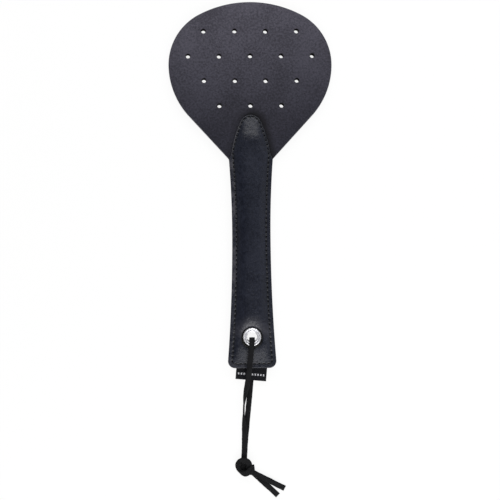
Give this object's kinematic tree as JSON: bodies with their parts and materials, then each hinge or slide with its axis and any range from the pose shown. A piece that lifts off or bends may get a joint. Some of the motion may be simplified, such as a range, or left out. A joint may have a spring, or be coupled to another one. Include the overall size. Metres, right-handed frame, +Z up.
{
  "type": "perforated leather hand paddle",
  "caption": "Flat leather hand paddle with a wide perforated head, a narrow padded and stitched handle, and an eyelet carrying a knotted lace wrist loop.",
  "frame": {"origin": "on the surface the paddle lies on, below the middle of its leather and label", "axes": "+Y along the paddle from the butt towards the head, +Z up through the padded side, +X across"},
  "size_m": [0.146, 0.4458, 0.0141],
  "materials": {
    "panel_leather": "matt black leather",
    "cover_leather": "soft sheen black leather",
    "padding": "dense felt",
    "thread": "waxed thread",
    "nickel": "polished nickel plate",
    "ribbon": "woven ribbon",
    "suede_lace": "flat suede lace"
  },
  "bodies": {
    "paddle": {"front_panel": "panel_leather", "back_panel": "panel_leather", "handle_core": "padding", "handle_cover": "cover_leather", "handle_stitching": "thread", "eyelet": "nickel", "eyelet_washer": "nickel", "label_tab": "ribbon"},
    "wrist_loop": {"lace_front_strand": "suede_lace", "lace_back_strand": "suede_lace", "lace_knot": "suede_lace", "lace_tail_upper": "suede_lace", "lace_tail_lower": "suede_lace"}
  },
  "joints": [
    {"name": "wrist_loop_swing", "type": "hinge", "parent": "paddle", "child": "wrist_loop", "pos_m": [0, -0.1294, 0.008], "axis": [0, 0, 1], "range_deg": [-90, 90]}
  ]
}
